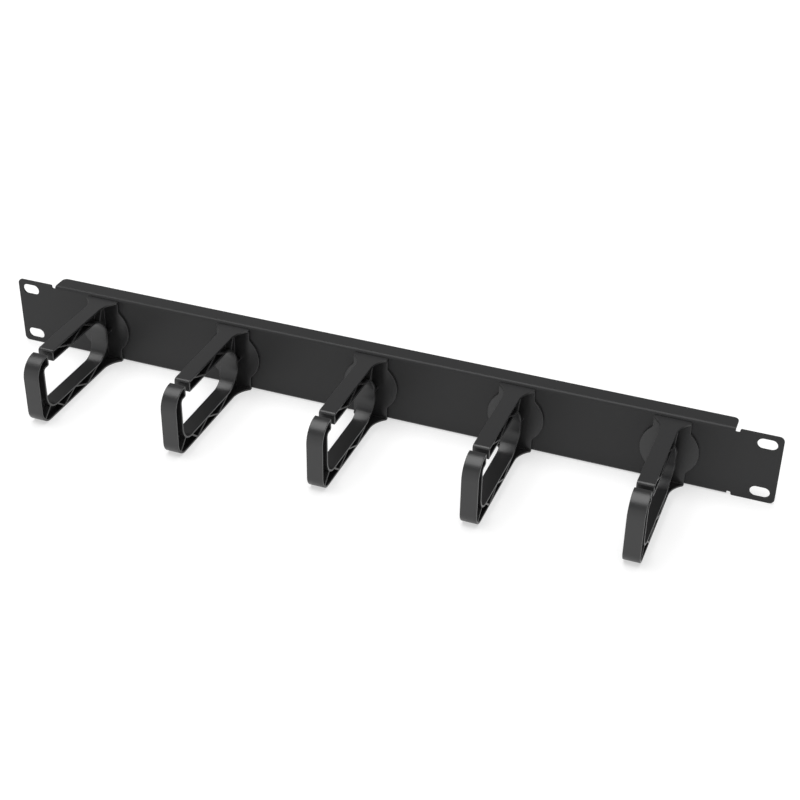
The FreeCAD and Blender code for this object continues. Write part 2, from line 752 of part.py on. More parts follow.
def make_rings(doc):
    """Build the row of identical rings."""
    rings = [mould_ring(doc, 1)]
    for ring_number in range(2, RING_COUNT + 1):
        rings.append(clone_ring(doc, rings[0], ring_number))
    for ring_number, body in enumerate(rings, start=1):
        seat_ring(body, ring_number)
    return rings


# ------------------------------------------------------------------ build, write


def check(doc, bodies):
    """Stop if any object failed or any sub-part is not one valid solid."""
    for item in doc.Objects:
        if "Invalid" in item.State or "Error" in item.State:
            raise RuntimeError(f"{item.Name} failed: {item.State}")
    for body in bodies:
        shape = body.Shape
        if shape.isNull() or not shape.isValid() or len(shape.Solids) != 1:
            raise RuntimeError(f"{body.Label} is not one valid solid")


def main():
    """Build the document and write one STEP file for each sub-part."""
    doc = FreeCAD.newDocument("cable_manager")
    make_sheet(doc)
    bodies = [make_panel(doc)] + make_rings(doc)
    doc.recompute()
    check(doc, bodies)
    os.makedirs("parts", exist_ok=True)
    for body in bodies:
        body.Shape.exportStep(os.path.join("parts", body.Label + ".step"))
        print(body.Label, "volume", round(body.Shape.Volume, 1), "box", body.Shape.BoundBox)


main()
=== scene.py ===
"""Horizontal cable manager for a 19 inch rack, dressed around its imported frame.

A folded steel panel in black powder coat carries five black moulded rings.  Each
ring is a C of two thin bands on a middle web with zigzag ribs, slit at the top,
and its foot, a plate with a round cover disc, is clipped into the panel.  Metres
throughout, in the frame's axes: X along the panel, +Y into the rack, Z up.
"""

import logging
import math
from collections.abc import Callable, Iterator
from contextlib import contextmanager
from dataclasses import dataclass, field
from enum import Enum
from typing import ClassVar

import bmesh
import bpy
from mathutils import Matrix, Vector


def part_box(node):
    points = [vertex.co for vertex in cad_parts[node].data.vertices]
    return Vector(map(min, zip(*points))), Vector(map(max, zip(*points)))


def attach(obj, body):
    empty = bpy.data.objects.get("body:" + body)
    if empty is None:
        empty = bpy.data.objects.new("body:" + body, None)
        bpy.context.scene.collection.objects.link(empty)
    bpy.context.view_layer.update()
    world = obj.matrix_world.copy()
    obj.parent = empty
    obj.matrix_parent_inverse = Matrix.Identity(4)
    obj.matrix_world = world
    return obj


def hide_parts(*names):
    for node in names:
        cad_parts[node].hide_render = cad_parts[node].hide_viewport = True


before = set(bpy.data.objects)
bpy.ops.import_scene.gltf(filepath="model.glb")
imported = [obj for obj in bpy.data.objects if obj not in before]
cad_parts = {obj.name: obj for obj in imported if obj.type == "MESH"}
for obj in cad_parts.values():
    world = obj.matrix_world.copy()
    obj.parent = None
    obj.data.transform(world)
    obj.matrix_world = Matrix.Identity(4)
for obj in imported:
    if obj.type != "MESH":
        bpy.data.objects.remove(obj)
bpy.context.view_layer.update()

log = logging.getLogger("cable_manager")

Piece = bpy.types.Object
Face = bmesh.types.BMFace
Edge = bmesh.types.BMEdge
Vertex = bmesh.types.BMVert

BODY = "root"
MM = 0.001
SAME_PLACE = 0.02 * MM
MERGE_REACH = SAME_PLACE / 4
CUT_REACH = MM / 1000
NODE_REACH = 0.1 * MM
FLAT_ANGLE = math.radians(1)
SHARP_ANGLE = math.radians(32)
SMOOTH_ANGLE = math.radians(40)
QUARTER_TURN = math.radians(90)
ALIGNED = 0.999
RIB_CORNERS = 4


class Element(Enum):
    """The kinds of mesh element that can be picked."""

    VERTEX = "VERT"
    EDGE = "EDGE"
    FACE = "FACE"


class Axis(Enum):
    """The frame's axes as unit vectors."""

    X = (1.0, 0.0, 0.0)
    Y = (0.0, 1.0, 0.0)
    Z = (0.0, 0.0, 1.0)

    @property
    def vector(self) -> Vector:
        """Return the axis as a vector."""
        return Vector(self.value)


class Slot(Enum):
    """The record's material slots."""

    PANEL_COAT = "panel_coat"
    RING_PLASTIC = "ring_plastic"


# ------------------------------------------------------------------- the work bench


def put_away() -> None:
    """Leave edit mode and deselect every object."""
    if bpy.context.mode != "OBJECT":
        bpy.ops.object.mode_set(mode="OBJECT")
    bpy.ops.object.select_all(action="DESELECT")


def take_up(piece: Piece) -> None:
    """Select one object alone and make it active.

    Args:
        piece: The object that the next operators act on.
    """
    put_away()
    piece.select_set(True)
    bpy.context.view_layer.objects.active = piece


@contextmanager
def editing(piece: Piece) -> Iterator[None]:
    """Hold a piece in edit mode with nothing selected.

    Args:
        piece: The mesh object to edit.
    """
    take_up(piece)
    bpy.ops.object.mode_set(mode="EDIT")
    bpy.ops.mesh.select_all(action="DESELECT")
    yield
    bpy.ops.object.mode_set(mode="OBJECT")


def pick_all() -> None:
    """Select the whole edited mesh."""
    bpy.ops.mesh.select_all(action="SELECT")


def pick(element: Element, test: Callable[..., bool]) -> int:
    """Select the elements of the edited mesh that pass a test, and no others.

    Args:
        element: Which kind of element is tested.
        test: Takes a vertex, edge or face of the mesh and tells whether it is wanted.

    Returns:
        How many elements are selected.
    """
    bpy.ops.mesh.select_mode(type=element.value)
    bpy.ops.mesh.select_all(action="DESELECT")
    mesh = bmesh.from_edit_mesh(bpy.context.object.data)
    mesh.normal_update()
    groups = {Element.VERTEX: mesh.verts, Element.EDGE: mesh.edges, Element.FACE: mesh.faces}
    chosen = [item for item in groups[element] if test(item)]
    for item in chosen:
        item.select_set(True)
    mesh.select_flush_mode()
    bmesh.update_edit_mesh(bpy.context.object.data)
    return len(chosen)


def middle(edge: Edge) -> Vector:
    """Return the middle of an edge."""
    return (edge.verts[0].co + edge.verts[1].co) / 2


def runs_along(edge: Edge, axis: Axis) -> bool:
    """Tell whether an edge lies along an axis."""
    span = edge.verts[1].co - edge.verts[0].co
    return span.length > 0 and abs(span.dot(axis.vector)) > ALIGNED * span.length


def faces_along(face: Face, axis: Axis, sign: int = 0) -> bool:
    """Tell whether a face looks along an axis.

    Args:
        face: The face to test.
        axis: The axis that its normal is compared with.
        sign: 1 or -1 for that direction alone, 0 for either.

    Returns:
        True if the normal lies along the axis.
    """
    share = face.normal.dot(axis.vector)
    return abs(share) > ALIGNED if sign == 0 else share * sign > ALIGNED


def near(value: float, target: float) -> bool:
    """Tell whether two lengths count as the same."""
    return abs(value - target) < SAME_PLACE


def cut_picked(place: Vector, axis: Axis) -> None:
    """Cut the selected part of the edited mesh across an axis and keep both sides."""
    bpy.ops.mesh.bisect(plane_co=place, plane_no=axis.vector, threshold=CUT_REACH)


def cut_all(place: Vector, axis: Axis) -> None:
    """Cut the whole edited mesh across an axis and keep both sides."""
    pick_all()
    cut_picked(place, axis)


def round_picked(radius: float, facets: int, affect: Element) -> None:
    """Round the selected edges or vertices of the edited mesh.

    Args:
        radius: The radius that they get.
        facets: The facets round it.
        affect: Whether edges or vertices are rounded.
    """
    bpy.ops.mesh.bevel(
        offset_type="OFFSET",
        offset=radius,
        segments=facets,
        profile=0.5,
        affect="EDGES" if affect is Element.EDGE else "VERTICES",
        clamp_overlap=False,
    )


def draw_out(move: tuple[float, float, float]) -> None:
    """Extrude the selected part of the edited mesh and move what is new."""
    bpy.ops.mesh.extrude_region_move(TRANSFORM_OT_translate={"value": move})


def turn_outwards() -> None:
    """Make every face of the edited mesh look outwards."""
    pick_all()
    bpy.ops.mesh.normals_make_consistent(inside=False)


def merge_close() -> None:
    """Merge the vertices of the edited mesh that share a place."""
    pick_all()
    bpy.ops.mesh.remove_doubles(threshold=MERGE_REACH)


def dissolve_flat() -> None:
    """Dissolve the edges and vertices of the edited mesh that shape nothing."""
    pick_all()
    bpy.ops.mesh.dissolve_limited(angle_limit=FLAT_ANGLE)


def merge_flat_faces(piece: Piece) -> None:
    """Dissolve every edge and vertex that shapes nothing.

    Args:
        piece: The mesh object to clean.
    """
    with editing(piece):
        merge_close()
        dissolve_flat()
        turn_outwards()


def settle(piece: Piece) -> None:
    """Write an object's place and turn into its mesh."""
    take_up(piece)
    bpy.ops.object.transform_apply(location=True, rotation=True, scale=True)


def use_modifier(piece: Piece, kind: str, **settings: object) -> None:
    """Add a modifier, set it up and apply it.

    Args:
        piece: The object that it acts on.
        kind: The modifier's type.
        **settings: Its properties by name.
    """
    take_up(piece)
    bpy.ops.object.modifier_add(type=kind)
    modifier = piece.modifiers[-1]
    for name, value in settings.items():
        setattr(modifier, name, value)
    bpy.ops.object.modifier_apply(modifier=modifier.name)


def combine(piece: Piece, tool: Piece, operation: str) -> None:
    """Join a tool to a piece, or cut it away, and throw the tool away.

    Args:
        piece: The object that is kept.
        tool: The object that is joined or cut away.
        operation: UNION or DIFFERENCE.
    """
    use_modifier(piece, "BOOLEAN", operation=operation, object=tool, solver="EXACT")
    bpy.data.objects.remove(tool)


def round_edges(piece: Piece, radius: float, segments: int) -> None:
    """Break every sharp edge with a small radius and shade the piece smoothly.

    Args:
        piece: The finished form.
        radius: The radius of the broken edges.
        segments: The facets across each radius.
    """
    use_modifier(
        piece,
        "BEVEL",
        width=radius,
        segments=segments,
        limit_method="ANGLE",
        angle_limit=SHARP_ANGLE,
        use_clamp_overlap=False,
        miter_outer="MITER_ARC",
    )
    take_up(piece)
    bpy.ops.object.shade_smooth_by_angle(angle=SMOOTH_ANGLE)
    use_modifier(piece, "WEIGHTED_NORMAL", keep_sharp=True)


def add_box(low: Vector, high: Vector) -> Piece:
    """Add a box between two corners, its place in its mesh.

    Args:
        low: The corner with the lowest values.
        high: The corner with the highest values.

    Returns:
        The new object.
    """
    put_away()
    bpy.ops.mesh.primitive_cube_add(size=1, location=(low + high) / 2)
    box = bpy.context.object
    box.scale = high - low
    settle(box)
    return box


# --------------------------------------------------------------------- the finishes


@dataclass(frozen=True)
class Finish:
    """A black finish with a fine grain, worked out on Object coordinates."""

    cloud_size: ClassVar[float] = 60 * MM
    cloud_detail: ClassVar[int] = 3
    ripple_detail: ClassVar[int] = 2
    grain_detail: ClassVar[int] = 4

    name: str
    colour: tuple[float, float, float]
    colour_spread: float
    roughness: float
    roughness_spread: float
    grain_size: float
    grain_depth: float
    ripple_size: float
    ripple_depth: float
    ior: float

    def build(self) -> bpy.types.Material:
        """Build the node material.

        Returns:
            The new material.
        """
        material = bpy.data.materials.new(self.name)
        material.use_nodes = True
        tree = material.node_tree
        nodes, links = tree.nodes, tree.links
        shader = nodes["Principled BSDF"]
        shader.inputs["IOR"].default_value = self.ior

        place = nodes.new("ShaderNodeTexCoord")
        cloud = self.noise(tree, place, 1 / self.cloud_size, self.cloud_detail)
        ripple = self.noise(tree, place, 1 / self.ripple_size, self.ripple_detail)
        grain = self.noise(tree, place, 1 / self.grain_size, self.grain_detail)

        tint = nodes.new("ShaderNodeMix")
        tint.data_type = "RGBA"
        links.new(cloud.outputs["Fac"], tint.inputs["Factor"])
        tint.inputs["A"].default_value = (*[c * (1 - self.colour_spread) for c in self.colour], 1)
        tint.inputs["B"].default_value = (*[c * (1 + self.colour_spread) for c in self.colour], 1)
        links.new(tint.outputs["Result"], shader.inputs["Base Color"])

        gloss = nodes.new("ShaderNodeMapRange")
        links.new(grain.outputs["Fac"], gloss.inputs["Value"])
        gloss.inputs["To Min"].default_value = self.roughness - self.roughness_spread
        gloss.inputs["To Max"].default_value = self.roughness + self.roughness_spread
        links.new(gloss.outputs["Result"], shader.inputs["Roughness"])

        wave = self.bump(tree, ripple, self.ripple_depth)
        pits = self.bump(tree, grain, self.grain_depth)
        links.new(wave.outputs["Normal"], pits.inputs["Normal"])
        links.new(pits.outputs["Normal"], shader.inputs["Normal"])
        return material

    @staticmethod
    def noise(
        tree: bpy.types.NodeTree, place: bpy.types.Node, scale: float, detail: float
    ) -> bpy.types.Node:
        """Add a noise texture on Object coordinates.

        Args:
            tree: The material's node tree.
            place: The Texture Coordinate node.
            scale: Cells a metre.
            detail: Octaves of finer noise.

        Returns:
            The noise node.
        """
        noise = tree.nodes.new("ShaderNodeTexNoise")
        noise.inputs["Scale"].default_value = scale
        noise.inputs["Detail"].default_value = detail
        tree.links.new(place.outputs["Object"], noise.inputs["Vector"])
        return noise

    @staticmethod
    def bump(tree: bpy.types.NodeTree, height: bpy.types.Node, depth: float) -> bpy.types.Node:
        """Add a bump of a real depth over a noise.

        Args:
            tree: The material's node tree.
            height: The noise node that gives the height.
            depth: The height from its lowest to its highest point, in metres.

        Returns:
            The bump node.
        """
        bump = tree.nodes.new("ShaderNodeBump")
        bump.inputs["Distance"].default_value = depth
        tree.links.new(height.outputs["Fac"], bump.inputs["Height"])
        return bump


POWDER_COAT = Finish(
    name="black powder coat",
    colour=(0.02, 0.02, 0.0205),
    colour_spread=0.12,
    roughness=0.42,
    roughness_spread=0.08,
    grain_size=0.5 * MM,
    grain_depth=0.012 * MM,
    ripple_size=2.4 * MM,
    ripple_depth=0.01 * MM,
    ior=1.35,
)

MOULDED_PLASTIC = Finish(
    name="black moulded plastic",
    colour=(0.016, 0.016, 0.0165),
    colour_spread=0.1,
    roughness=0.33,
    roughness_spread=0.05,
    grain_size=0.35 * MM,
    grain_depth=0.004 * MM,
    ripple_size=9 * MM,
    ripple_depth=0.02 * MM,
    ior=1.55,
)


# ------------------------------------------------------------------------ the rings


@dataclass
class CableRing:
    """A moulded cable ring, built once with its foot at the origin and then copied.

    In its own frame the back of the foot is Y = 0, the bottom is Z = 0 and the ring
    reaches forward along -Y.  The outer sizes come from the frame.
    """

    reach: float
    height: float
    disc_radius: float
    hole_height: float
    claw_reach: float
    sheet: float = 1.2 * MM
    arm_width: float = 9.6 * MM
    web: float = 1.6 * MM
    wall: float = 1.25 * MM
    rib: float = 1.1 * MM
    arm_depth: float = 7.2 * MM
    leg_depth: float = 8.0 * MM
    toe_radius: float = 8.5 * MM
    nose_radius: float = 11.7 * MM
    opening_back: float = 9.4 * MM
    back_radius: float = 11.4 * MM
    heel_radius: float = 9.0 * MM
    throat_radius: float = 2.0 * MM
    slit_back: float = 67.1 * MM
    slit_width: float = 4.4 * MM
    slit_edge: float = 0.8 * MM
    arm_end: float = 1.9 * MM
    tip_heel: float = 1.3 * MM
    foot_width: float = 21.4 * MM
    foot_plate: float = 1.5 * MM
    flare_start: float = 14.0 * MM
    flare_end: float = 2.0 * MM
    flare_steps: int = 10
    middle_rib_height: float = 21.4 * MM
    first_lower_rib: float = 60.8 * MM
    lower_rib_pitch: float = 13.4 * MM
    top_rib_setback: float = 6.1 * MM
    upper_rib_pitch: float = 14.44 * MM
    back_rib_turn: int = 5
    back_rib_head: float = 10.4 * MM
    lower_ribs: int = 3
    upper_bays: int = 3
    curve_facets: int = 12
    disc_blend: float = 3.0 * MM
    disc_facets: int = 28
    blend_facets: int = 4
    claw_radius: float = 10.0 * MM
    claw_width: float = 6.0 * MM
    claw_thickness: float = 1.8 * MM
    claw_setback: float = 0.5 * MM
    claw_hook: float = 1.7 * MM
    claw_land: float = 0.6 * MM
    hook_gap: float = 0.15 * MM
    claw_count: int = 4
    key_width: float = 4.0 * MM
    key_rise: float = 1.5 * MM
    edge_radius: float = 0.28 * MM
    edge_facets: int = 3
    pocket_mark: int = field(default=1, init=False)

    @property
    def upper_face(self) -> float:
        """Return the height of the opening's top."""
        return self.height - self.arm_depth

    @property
    def leg_face(self) -> float:
        """Return where the opening's front is, forward of the foot."""
        return self.reach - self.leg_depth

    @property
    def tip(self) -> float:
        """Return where the front side of the slit is, forward of the foot."""
        return self.slit_back + self.slit_width

    @property
    def lip(self) -> float:
        """Return how far the rib nodes lie inside the band's edge."""
        return self.wall - self.rib / 2

    @property
    def spring(self) -> float:
        """Return where the rear curves of the opening start, forward of the foot."""
        return self.opening_back + self.back_radius

    def build(self) -> Piece:
        """Build one ring at the origin of its own frame.

        Returns:
            The finished ring.
        """
        ring = self.cut_blank()
        self.round_corners(ring)
        self.mark_ribs(ring)
        self.sink_pockets(ring)
        self.round_slit(ring)
        self.flare_foot(ring)
        self.draw_out_disc(ring)
        self.add_fixing(ring)
        merge_flat_faces(ring)
        round_edges(ring, self.edge_radius, self.edge_facets)
        return ring

    def cut_blank(self) -> Piece:
        """Cut a C out of a standing plate and give it the arm's width.

        Returns:
            The blank.
        """
        put_away()
        bpy.ops.mesh.primitive_plane_add(
            size=1,
            location=(-self.arm_width / 2, -self.reach / 2, self.height / 2),
            rotation=(0, QUARTER_TURN, 0),
        )
        blank = bpy.context.object
        blank.scale = (self.height, self.reach, 1)
        settle(blank)
        with editing(blank):
            for forward in (self.opening_back, self.slit_back, self.tip, self.leg_face):
                cut_all(Vector((0, -forward, 0)), Axis.Y)
            for up in (self.arm_depth, self.upper_face):
                cut_all(Vector((0, 0, up)), Axis.Z)
            pick(Element.FACE, self.in_opening)
            bpy.ops.mesh.delete(type="FACE")
            dissolve_flat()
            pick_all()
            draw_out((self.arm_width, 0, 0))
            turn_outwards()
        return blank

    def in_opening(self, face: Face) -> bool:
        """Tell whether a face of the plate lies in the opening or in the slit."""
        place = face.calc_center_median()
        between = self.opening_back < -place.y < self.leg_face
        inside = between and self.arm_depth < place.z < self.upper_face
        slit = self.slit_back < -place.y < self.tip and place.z > self.arm_depth
        return inside or slit

    def round_corner(self, forward: float, up: float, radius: float, facets: int) -> None:
        """Round one corner of the side view, right across the arm.

        Args:
            forward: Where the corner is, forward of the foot.
            up: Its height.
            radius: The radius that it gets.
            facets: The facets round it.
        """

        def at_corner(edge: Edge) -> bool:
            place = middle(edge)
            return runs_along(edge, Axis.X) and near(-place.y, forward) and near(place.z, up)

        pick(Element.EDGE, at_corner)
        round_picked(radius, facets, Element.EDGE)

    def round_corners(self, ring: Piece) -> None:
        """Give the side view its large corners.

        Args:
            ring: The blank.
        """
        facets = self.curve_facets
        with editing(ring):
            self.round_corner(self.reach, 0, self.toe_radius, facets)
            self.round_corner(self.reach, self.height, self.nose_radius, facets)
            self.round_corner(self.leg_face, self.upper_face, self.throat_radius, facets // 2)
            self.round_corner(self.leg_face, self.arm_depth, self.heel_radius, facets)
            self.round_corner(self.opening_back, self.arm_depth, self.back_radius, facets)
            self.round_corner(self.opening_back, self.upper_face, self.back_radius, facets)

    def lower_nodes(self) -> list[Vector]:
        """List where the bottom ribs meet the bands, from the heel to the rear curve.

        Returns:
            Their places in the side view.
        """
        nodes = [Vector((0, self.heel_radius - self.leg_face, self.arm_depth - self.lip))]
        for rib in range(self.lower_ribs):
            up = self.arm_depth - self.lip if rib % 2 else self.lip
            nodes.append(Vector((0, rib * self.lower_rib_pitch - self.first_lower_rib, up)))
        return nodes + [Vector((0, -self.spring, self.arm_depth - self.lip))]

    def toe_rib(self) -> tuple[Vector, Vector]:
        """Find both ends of the slanted rib from the toe to the heel of the opening."""
        slant = math.sqrt(0.5)
        toe = self.toe_radius - (self.toe_radius - self.lip) * slant
        heel = (self.heel_radius + self.lip) * slant - self.heel_radius
        corner = Vector((0, -(self.leg_face + heel), self.arm_depth - heel))
        return Vector((0, toe - self.reach, toe)), corner

    def curve_node(self, facets: int) -> Vector:
        """Find a corner of the band round the upper rear curve.

        Args:
            facets: How many facets round it is from the top of the curve.

        Returns:
            Its place in the side view.
        """
        angle = QUARTER_TURN * facets / self.curve_facets
        outside = self.back_radius + self.lip
        forward = outside * math.sin(angle) - self.spring
        return Vector((0, forward, self.upper_face - self.back_radius + outside * math.cos(angle)))

    def upper_nodes(self) -> list[Vector]:
        """List where the top ribs meet the bands, from the slit to the rear curve.

        Returns:
            Their places in the side view.
        """
        first = self.top_rib_setback - self.slit_back
        nodes = []
        for bay in range(self.upper_bays):
            up = self.upper_face + self.lip if bay % 2 else self.height - self.lip
            nodes.append(Vector((0, first + bay * self.upper_rib_pitch, up)))
        return nodes + [self.curve_node(0)]

    def back_rib(self) -> tuple[Vector, Vector]:
        """Find both ends of the short rib from the rear curve to the top band."""
        head = Vector((0, -self.back_rib_head, self.height - self.lip))
        return self.curve_node(self.back_rib_turn), head

    def mark_ribs(self, ring: Piece) -> None:
        """Draw the middle lines of the ribs on both sides of the ring.

        Args:
            ring: The rounded blank.
        """
        lower, upper = self.lower_nodes(), self.upper_nodes()
        ribs = [self.toe_rib(), self.back_rib()]
        ribs += list(zip(lower, lower[1:])) + list(zip(upper, upper[1:]))
        with editing(ring):
            pick(Element.FACE, lambda face: faces_along(face, Axis.X))
            bpy.ops.mesh.inset(thickness=self.lip, use_even_offset=True)
            mesh = bmesh.from_edit_mesh(ring.data)
            for face in mesh.faces:
                face.material_index = self.pocket_mark if face.select else 0
            bmesh.update_edit_mesh(ring.data)
            for start, end in ribs:
                self.add_node(start)
                self.add_node(end)
                self.join_nodes(start, end)

    def add_node(self, node: Vector) -> None:
        """Put a vertex on the straight edges that a rib starts from, on both sides.

        Args:
            node: Where the rib meets the band.
        """

        def under_node(edge: Edge) -> bool:
            start, end = (vertex.co for vertex in edge.verts)
            level = near(start.z, node.z) and near(end.z, node.z)
            inside = min(start.y, end.y) + NODE_REACH < node.y < max(start.y, end.y) - NODE_REACH
            return level and inside and runs_along(edge, Axis.Y)

        if pick(Element.EDGE, under_node):
            cut_picked(node, Axis.Y)

    def join_nodes(self, start: Vector, end: Vector) -> None:
        """Split the side faces between two nodes, on both sides.

        Args:
            start: One end of the rib.
            end: Its other end.
        """
        half = self.arm_width / 2

        def at_node(vertex: Vertex) -> bool:
            flat = Vector((0, vertex.co.y, vertex.co.z))
            reached = min((flat - start).length, (flat - end).length) < NODE_REACH
            return reached and near(abs(vertex.co.x), half)

        found = pick(Element.VERTEX, at_node)
        if found != RIB_CORNERS:
            raise ValueError(f"a rib from {start} to {end} meets {found} vertices")
        bpy.ops.mesh.vert_connect()

    def sink_pockets(self, ring: Piece) -> None:
        """Sink every cell between the ribs down to the web.

        Args:
            ring: The ring with its ribs drawn.
        """
        depth = (self.arm_width - self.web) / 2
        for side in (1, -1):

            def is_cell(face: Face) -> bool:
                marked = face.material_index == self.pocket_mark
                return marked and faces_along(face, Axis.X, side)

            with editing(ring):
                pick(Element.FACE, is_cell)
                bpy.ops.mesh.inset(
                    thickness=self.rib / 2, use_even_offset=True, use_individual=True
                )
                draw_out((-side * depth, 0, 0))
        with editing(ring):
            pick(Element.VERTEX, lambda vertex: near(-vertex.co.y, self.wall))
            bpy.ops.transform.translate(value=(0, self.wall - self.foot_plate, 0))

    def round_slit(self, ring: Piece) -> None:
        """Round the small corners on both sides of the entry slit.

        Args:
            ring: The ring with its pockets.
        """
        with editing(ring):
            facets = self.curve_facets // 3
            self.round_corner(self.tip, self.height, self.slit_edge, facets)
            self.round_corner(self.tip, self.upper_face, self.tip_heel, facets)
            self.round_corner(self.slit_back, self.upper_face, self.slit_edge, facets)
            self.round_corner(self.slit_back, self.height, self.arm_end, facets)

    def flare(self, forward: float) -> float:
        """Work out how far each side is spread, on an arc tangent to the arm.

        Args:
            forward: The distance forward of the foot.

        Returns:
            The spread of one side.
        """
        spread = (self.foot_width - self.arm_width) / 2
        run = self.flare_start - self.flare_end
        radius = (spread**2 + run**2) / (2 * spread)
        along = min(max(self.flare_start - forward, 0.0), run)
        return radius - math.sqrt(radius**2 - along**2)

    def flare_foot(self, ring: Piece) -> None:
        """Spread the bands into the wide foot.

        Args:
            ring: The ring as wide as its arm.
        """
        half = self.arm_width / 2
        run = self.flare_start - self.flare_end
        with editing(ring):
            for step in range(self.flare_steps + 1):
                forward = self.flare_end + run * step / self.flare_steps
                cut_all(Vector((0, -forward, 0)), Axis.Y)
            mesh = bmesh.from_edit_mesh(ring.data)
            for vertex in mesh.verts:
                if near(abs(vertex.co.x), half):
                    vertex.co.x += math.copysign(self.flare(-vertex.co.y), vertex.co.x)
            bmesh.update_edit_mesh(ring.data)

    def lay_rib(self, ring: Piece, start: Vector, end: Vector) -> None:
        """Add a straight rib as wide as the arm.

        Args:
            ring: The ring that gets it.
            start: One end of its middle line in the side view.
            end: The other end.
        """
        half = Vector((self.arm_width, (end - start).length, self.rib)) / 2
        rib = add_box(-half, half)
        slope = math.atan2(end.z - start.z, end.y - start.y)
        rib.data.transform(Matrix.Rotation(slope, 4, "X"))
        rib.data.transform(Matrix.Translation((start + end) / 2))
        combine(ring, rib, "UNION")

    def disc_edge(self, up: float) -> float:
        """Work out how far the foot reaches to each side at one height.

        Args:
            up: The height above or below the middle of the disc.

        Returns:
            Half the width, over the plate, the disc or the hollow corner between.
        """
        side = self.foot_width / 2
        blend_across = side + self.disc_blend
        reach = self.disc_radius + self.disc_blend
        blend_up = math.sqrt(reach**2 - blend_across**2)
        if abs(up) > blend_up:
            return side
        if abs(up) > blend_up * self.disc_radius / reach:
            return blend_across - math.sqrt(self.disc_blend**2 - (blend_up - abs(up)) ** 2)
        return math.sqrt(self.disc_radius**2 - up**2)

    def disc_cuts(self) -> list[float]:
        """List the heights at which the edge of the disc and its blends are drawn.

        Returns:
            Heights above or below the middle of the disc, from the lowest up.
        """
        reach = self.disc_radius + self.disc_blend
        blend_up = math.sqrt(reach**2 - (self.foot_width / 2 + self.disc_blend) ** 2)
        turn = math.asin(blend_up / reach)
        half = self.disc_facets // 2
        rim = [self.disc_radius * math.sin(turn * step / half) for step in range(half + 1)]
        for step in range(1, self.blend_facets + 1):
            angle = turn * (1 - step / self.blend_facets)
            rim.append(blend_up - self.disc_blend * math.sin(angle))
        return [-up for up in reversed(rim[1:])] + rim

    def draw_out_disc(self, ring: Piece) -> None:
        """Draw the sides of the foot plate out into the round cover disc.

        Args:
            ring: The flared ring.
        """
        side = self.foot_width / 2
        cuts = self.disc_cuts()
        low, high = self.hole_height + cuts[0], self.hole_height + cuts[-1]

        def on_side(face: Face) -> bool:
            return near(abs(face.calc_center_median().x), side)

        def beside_plate(face: Face) -> bool:
            place = face.calc_center_median()
            in_plate = -self.foot_plate < place.y < 0 and low < place.z < high
            return in_plate and on_side(face)

        with editing(ring):
            for up in cuts:
                pick(Element.FACE, on_side)
                cut_picked(Vector((0, 0, self.hole_height + up)), Axis.Z)
            pick(Element.FACE, on_side)
            cut_picked(Vector((0, -self.foot_plate, 0)), Axis.Y)
            pick(Element.FACE, beside_plate)
            bpy.ops.mesh.extrude_region_move()
            mesh = bmesh.from_edit_mesh(ring.data)
            for vertex in mesh.verts:
                if vertex.select:
                    vertex.co.x = math.copysign(
                        self.disc_edge(vertex.co.z - self.hole_height), vertex.co.x
                    )
            bmesh.update_edit_mesh(ring.data)
            merge_close()

    def add_fixing(self, ring: Piece) -> None:
        """Add the middle rib, and behind the disc the turn key and the snap claws.

        Args:
            ring: The ring with its disc.
        """
        back_wall = Vector((0, self.wall / 2 - self.opening_back, self.middle_rib_height))
        foot_plate = Vector((0, -self.foot_plate / 2, self.middle_rib_height))
        self.lay_rib(ring, back_wall, foot_plate)
        key = add_box(
            Vector((self.claw_radius - self.claw_thickness, foot_plate.y, -self.key_width / 2)),
            Vector((self.claw_radius + self.key_rise, self.sheet, self.key_width / 2)),
        )
        self.turn_about_hole(key, QUARTER_TURN / 2)
        combine(ring, key, "UNION")
        for index in range(self.claw_count):
            claw = self.shape_claw()
            self.turn_about_hole(claw, index * math.tau / self.claw_count)
            combine(ring, claw, "UNION")

    def turn_about_hole(self, piece: Piece, angle: float) -> None:
        """Turn a piece drawn level about the hole's axis and lift it to the hole.

        Args:
            piece: A piece with its axis on Y.
            angle: The angle from +X towards +Z.
        """
        piece.data.transform(Matrix.Rotation(-angle, 4, "Y"))
        piece.data.transform(Matrix.Translation((0, 0, self.hole_height)))

    def shape_claw(self) -> Piece:
        """Build one snap claw along +X, hooked outwards behind the sheet.

        Returns:
            The claw, which starts inside the foot plate.
        """
        face = self.claw_radius - self.claw_setback
        seat = self.sheet + self.hook_gap
        claw = add_box(
            Vector((face - self.claw_thickness, -self.foot_plate / 2, -self.claw_width / 2)),
            Vector((face, self.claw_reach, self.claw_width / 2)),
        )
        with editing(claw):
            cut_all(Vector((0, seat, 0)), Axis.Y)
            cut_all(Vector((0, seat + self.claw_land, 0)), Axis.Y)

            def behind_sheet(item: Face) -> bool:
                return faces_along(item, Axis.X, 1) and item.calc_center_median().y > seat

            def outer_tip(item: Vertex) -> bool:
                return near(item.co.y, self.claw_reach) and near(item.co.x, face + self.claw_hook)

            pick(Element.FACE, behind_sheet)
            draw_out((self.claw_hook, 0, 0))
            pick(Element.VERTEX, outer_tip)
            bpy.ops.transform.translate(value=(-self.claw_hook, 0, 0))
            merge_close()
        return claw

    def place_copy(self, ring: Piece, name: str, foot: Vector) -> Piece:
        """Copy the ring with a mesh of its own and stand it on the panel.

        Args:
            ring: The ring at the origin.
            name: The name of the copy.
            foot: Where the middle of the foot's lower back edge goes.

        Returns:
            The copy.
        """
        take_up(ring)
        bpy.ops.object.duplicate(linked=False)
        copy = bpy.context.object
        copy.name = name
        copy.location = foot
        settle(copy)
        return copy


# ------------------------------------------------------------------------ the panel


